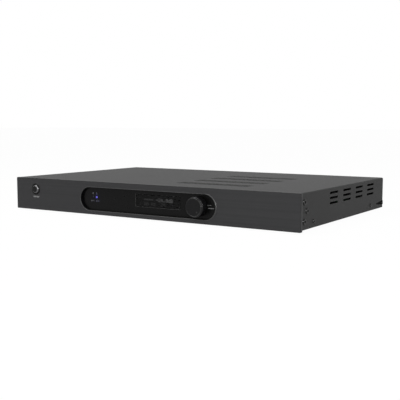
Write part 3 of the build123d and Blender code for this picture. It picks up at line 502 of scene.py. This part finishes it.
# Each mark is its name, text, place, capitals' height in millimetres, letter spacing, film and slot.
marks = (
    ("button_mark", "ON/OFF", button_mark_place, 1.9, 1.15, ink, "front_aluminium"),
    ("first_light_number", "1", first_number_place, 2.1, 1.0, ink, "gloss_black"),
    ("second_light_number", "2", second_number_place, 2.1, 1.0, dim_ink, "gloss_black"),
    ("light_states", "OFF  ON", light_states_place, 1.7, 1.6, dim_ink, "gloss_black"),
)
for name, text, place, height, spacing, film, slot in marks:
    word = bpy.data.curves.new(name, "FONT")
    word.body = text
    word.align_x = "CENTER"
    word.align_y = "CENTER"
    word.size = height * mm / capital_share
    word.extrude = ink_depth
    word.offset = stroke_gain
    word.space_character = spacing
    word.materials.append(film)
    piece = placed(name, word)
    piece.rotation_euler = (math.radians(90), 0, 0)
    piece.location = place
    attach(piece, "chassis")

# Corner plugs: black nylon wedges pressed into the notches at the rear edge of the sides.
# A long tapering lip lies on the sheet in front of each notch: a dark sheet that is a painted shadow,
# tall at the notch and thin at its front.
plug_and_shadow_black = finish(
    "black_nylon_and_painted_shadow", ("161616", "1c1c1c"), patch=3.0, roughness=(0.5, 0.6), grain=0.8,
    IOR=1.5, Specular_IOR_Level=0.0)
notch_depth = 5.0
plug_height = 5.4
plug_wall = 1.1
plug_gap = 0.1
plug_front = notch_depth - plug_gap
shadow_tip_height = 1.2
shadow_lip_length = 27.0
shadow_lip_start = 0.08
shadow_lip_end = 0.6
shadow_lip_clearance = 0.03
# Outline seen from above: how far out from the side, how far forward from the rear, and the
# plug's height there, in millimetres.
plug_outline = [
    (-plug_wall, plug_gap, plug_height), (-plug_wall, plug_front, plug_height),
    (shadow_lip_clearance, plug_front, plug_height), (shadow_lip_clearance, shadow_lip_length, shadow_tip_height),
    (shadow_lip_start, shadow_lip_length, shadow_tip_height), (shadow_lip_end, plug_gap, plug_height)]
notch_middle = case_bottom + 6.8 * mm
cover_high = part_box("top_cover")[1]
for name, side in (("left_corner_plug_and_shadow", -1), ("right_corner_plug_and_shadow", 1)):
    shape = bmesh.new()
    lower, upper = [
        [shape.verts.new((
            side * (cover_high.x + outward * mm), cover_high.y - forward * mm,
            notch_middle + half * height * mm / 2))
         for outward, forward, height in plug_outline]
        for half in (-1, 1)]
    shape.faces.new(lower)
    shape.faces.new(upper)
    for index, corner in enumerate(lower):
        shape.faces.new([lower[index - 1], corner, upper[index], upper[index - 1]])
    bmesh.ops.recalc_face_normals(shape, faces=shape.faces)
    piece = built(name, shape)
    piece.data.materials.append(plug_and_shadow_black)
    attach(piece, "chassis")

# Screws: black oxide heads with hexagon sockets in the sides, zinc plated screws elsewhere.
# The oxide is thin, so the steel still gives the black a metal sheen.
oxide = finish(
    "black_oxide_steel", ("080808", "0e0e0e"), patch=1.5, roughness=(0.22, 0.32), grain=1.0,
    IOR=1.5, Specular_IOR_Level=0.15)
wear(oxide, "rack_ear_screws", "cover_screws")

zinc = finish(
    "zinc_plated_steel", ("a9a9a4", "bdbdb8"), patch=2.0, roughness=(0.28, 0.4), grain=1.0,
    Metallic=1.0)
wear(zinc, "foot_screws", "board_screws")

# Feet: moulded black rubber, dull and slightly dusty, screwed up under the tray.
# Its fine tool texture keeps it matt from every side.
rubber = finish(
    "moulded_rubber", ("121212", "1c1c1b"), patch=5.0, roughness=(0.7, 0.85), grain=0.6,
    relief=0.01, IOR=1.52)
wear(rubber, "rubber_feet")

# Plated connectors: gold flashed brass shells, studs and contacts on the rear panel.
# The flash is thin over machined brass, warm in colour and only half polished.
plated = finish(
    "gold_plated_brass", ("c59a4e", "d8b060"), patch=3.0, roughness=(0.18, 0.28), grain=1.0,
    Metallic=1.0)
wear(
    plated, "rca_shells", "post_studs", "post_collar_left", "post_collar_right", "trigger_jack_nuts",
    "inlet_blades", "board_standoffs")

# Circuit boards: green solder mask over glass fibre, with copper tracks that show as paler lines.
# The mask is a liquid resin cured to a gloss, a little orange-peeled. The tracks lie 6 mm apart,
# coarser than real ones, so that they show.
board = finish(
    "green_solder_mask", ("1d5a34", "0f3a20"), patch=4.0, roughness=(0.3, 0.45), grain=4.0, IOR=1.5)
track_pitch = 6.0 * mm
track_share = 0.12
tree = board.node_tree
tracks = add(
    tree, "ShaderNodeTexVoronoi", {"Scale": 1 / track_pitch},
    {"Vector": tree.nodes["drawn"].outputs["Vector"]}, feature="DISTANCE_TO_EDGE")
between = add(
    tree, "ShaderNodeMath", {1: track_share}, {0: tracks.outputs["Distance"]},
    operation="GREATER_THAN")
tree.links.new(between.outputs["Value"], tree.nodes["shades"].inputs["Fac"])
wear(board, "supply_board", "amplifier_board", "input_board", "front_board", "display_board")

# Heat sinks: extruded aluminium, left mill finish, with faint lines along the extrusion.
# Bare metal, so it shines grey between the black slots of the cover.
extruded = finish(
    "mill_finish_aluminium", ("86878a", "9a9b9e"), patch=0.8, roughness=(0.35, 0.5), grain=0.8,
    stretch=(1.0, 0.02, 1.0), Metallic=1.0)
wear(extruded, "heat_sink", "rectifier_heat_sink")

# Wound parts: sintered ferrite core, taped coil, enamelled copper rings and a boxed film capacitor.
# The copper turns lie 1.2 mm apart and stand out as rounded ribs.
ferrite = finish(
    "sintered_ferrite", ("1c1b1b", "282726"), patch=1.0, roughness=(0.6, 0.75), grain=0.6, IOR=2.0)
wear(ferrite, "transformer_core")

tape = finish(
    "polyester_tape", ("b98d1c", "caa02a"), patch=5.0, roughness=(0.25, 0.35), grain=2.0, IOR=1.55)
wear(tape, "transformer_coil")


def ribbed_with_painted_shade(material, pitch):
    """Draws rounded ribs side by side along X in a material's skin, and paints the grooves between
    them in its darker shade, a painted shade.
    """
    tree = material.node_tree
    # The wave texture turns through 20 radians in each unit of its scale.
    waves_per_unit = 20 / (2 * math.pi)
    ribs = add(
        tree, "ShaderNodeTexWave", {"Scale": 1 / pitch / waves_per_unit},
        {"Vector": tree.nodes["drawn"].outputs["Vector"]}, bands_direction="X")
    tree.links.new(ribs.outputs["Fac"], tree.nodes["shades"].inputs["Fac"])
    tree.links.new(ribs.outputs["Fac"], tree.nodes["skin"].inputs["Height"])


wire_pitch = 1.2 * mm
copper = finish(
    "enamelled_copper", ("6e2c12", "b05a2a"), patch=2.0, roughness=(0.25, 0.35), grain=2.0,
    relief=0.3, Metallic=1.0)
# Painted shade: the grooves between the turns are darker.
ribbed_with_painted_shade(copper, wire_pitch)
wear(copper, "output_inductors", "mains_filter_choke")

capacitor_black = finish(
    "black_capacitor_box", ("101012", "161618"), patch=4.0, roughness=(0.45, 0.55), grain=1.0,
    IOR=1.5)
wear(capacitor_black, "filter_capacitors")

# Mains fuse: a drawn glass tube, clear and fire polished, in the drawer under the mains socket.
# Little of it shows, so it only needs the shine and the depth of glass.
fuse_glass = finish(
    "fuse_tube", ("d5dcda", "dfe6e4"), patch=2.0, roughness=(0.05, 0.12), grain=2.0,
    IOR=1.5, Transmission_Weight=0.7)
wear(fuse_glass, "mains_fuse")

# Wiring: PVC insulated leads and a grey ribbon cable with fine ribs between its conductors.
# Extruded PVC has a soft sheen, and the ribs of the ribbon are 1.27 mm apart.
pvc = finish(
    "pvc_insulation", ("1a1a1c", "232326"), patch=6.0, roughness=(0.4, 0.5), grain=1.0, IOR=1.53)
wear(pvc, "mains_wires", "speaker_wires")

conductor_pitch = 1.27 * mm
ribbon = finish(
    "grey_ribbon_cable", ("6c6d70", "8a8b8e"), patch=2.0, roughness=(0.45, 0.55), grain=2.0,
    relief=0.2, IOR=1.53)
# Painted shade: the grooves between the conductors are darker.
ribbed_with_painted_shade(ribbon, conductor_pitch)
wear(ribbon, "ribbon_cable")

# Studio: pale paper floor and white surroundings, both white to the camera and in reflections,
# while the floor keeps a soft shadow of the case.
floor_reach = 12.0
camera_share = 0.975
mirror_share = 0.7
ground = bmesh.new()
bmesh.ops.create_grid(ground, x_segments=1, y_segments=1, size=floor_reach)
floor = built("floor", ground)
paper = finish(
    "white_paper", ("eeeeee", "f4f4f4"), patch=300.0, roughness=(0.85, 0.95), grain=2.0)
tree = paper.node_tree
seen = add(tree, "ShaderNodeLightPath")
bright = add(tree, "ShaderNodeEmission", {"Strength": 1.0})
through = add(
    tree, "ShaderNodeMath",
    links={0: seen.outputs["Is Glossy Ray"], 1: seen.outputs["Is Transmission Ray"]},
    operation="MAXIMUM")
mirrored = add(
    tree, "ShaderNodeMath", {1: mirror_share}, {0: through.outputs["Value"]}, operation="MULTIPLY")
share = add(
    tree, "ShaderNodeMath", {1: camera_share},
    {0: seen.outputs["Is Camera Ray"], 2: mirrored.outputs["Value"]}, operation="MULTIPLY_ADD")
both = add(
    tree, "ShaderNodeMixShader",
    links={0: share.outputs["Value"], 1: tree.nodes["Principled BSDF"].outputs["BSDF"],
           2: bright.outputs["Emission"]})
tree.links.new(both.outputs["Shader"], tree.nodes["Material Output"].inputs["Surface"])
floor.data.materials.append(paper)

sky_fill = 0.35
world = bpy.data.worlds.new("studio")
world.use_nodes = True
bpy.context.scene.world = world
tree = world.node_tree
path = add(tree, "ShaderNodeLightPath")
direct = add(
    tree, "ShaderNodeMath",
    links={0: path.outputs["Is Camera Ray"], 1: path.outputs["Is Glossy Ray"]},
    operation="MAXIMUM")
shown = add(
    tree, "ShaderNodeMath",
    links={0: direct.outputs["Value"], 1: path.outputs["Is Transmission Ray"]},
    operation="MAXIMUM")
level = add(
    tree, "ShaderNodeMapRange", {"To Min": sky_fill, "To Max": 1.0},
    {"Value": shown.outputs["Value"]})
sky = tree.nodes["Background"]
sky.inputs["Color"].default_value = (1, 1, 1, 1)
tree.links.new(level.outputs["Result"], sky.inputs["Strength"])

lamp_aim = Vector((0, 0, 20 * mm))


def lamp(name, place, size, watts):
    """Square soft lamp at a place in metres that points at the middle of the case."""
    light = bpy.data.lights.new(name, "AREA")
    light.size = size
    light.energy = watts
    rig = placed(name, light)
    rig.location = place
    rig.rotation_euler = (lamp_aim - Vector(place)).to_track_quat("-Z", "Y").to_euler()


lamp("high_left_softbox", (-0.42, -0.62, 1.36), size=0.8, watts=12.0)
lamp("high_right_softbox", (0.68, -1.15, 0.97), size=0.8, watts=7.0)
lamp("low_right_lamp", (1.04, -1.19, 0.44), size=0.20, watts=9.0)
lamp("side_lamp", (1.45, -0.2, 0.21), size=0.12, watts=3.0)

# Camera: set from the panel's corners in the photograph, about 6 degrees above the case.
# It stands 0.9 m off, to the right of the front.
camera_spot = Vector((0.55047, -0.72196, 0.11885)) + Vector((0, panel_low.y, case_bottom))
turn = math.radians(-32.613)
drop = math.radians(6.121)
roll = math.radians(0.043)
forward = Vector((math.sin(turn) * math.cos(drop), math.cos(turn) * math.cos(drop), -math.sin(drop)))
level_right = Vector((math.cos(turn), -math.sin(turn), 0))
level_up = level_right.cross(forward)
right = level_right * math.cos(roll) + level_up * math.sin(roll)
up = level_up * math.cos(roll) - level_right * math.sin(roll)
camera = placed("camera", bpy.data.cameras.new("camera"))
camera.data.lens = 65.10
camera.data.sensor_width = 36.0
facing = Matrix((right, up, -forward)).transposed().to_4x4()
camera.matrix_world = Matrix.Translation(camera_spot) @ facing
bpy.context.scene.camera = camera
bpy.context.scene.view_settings.view_transform = "Standard"
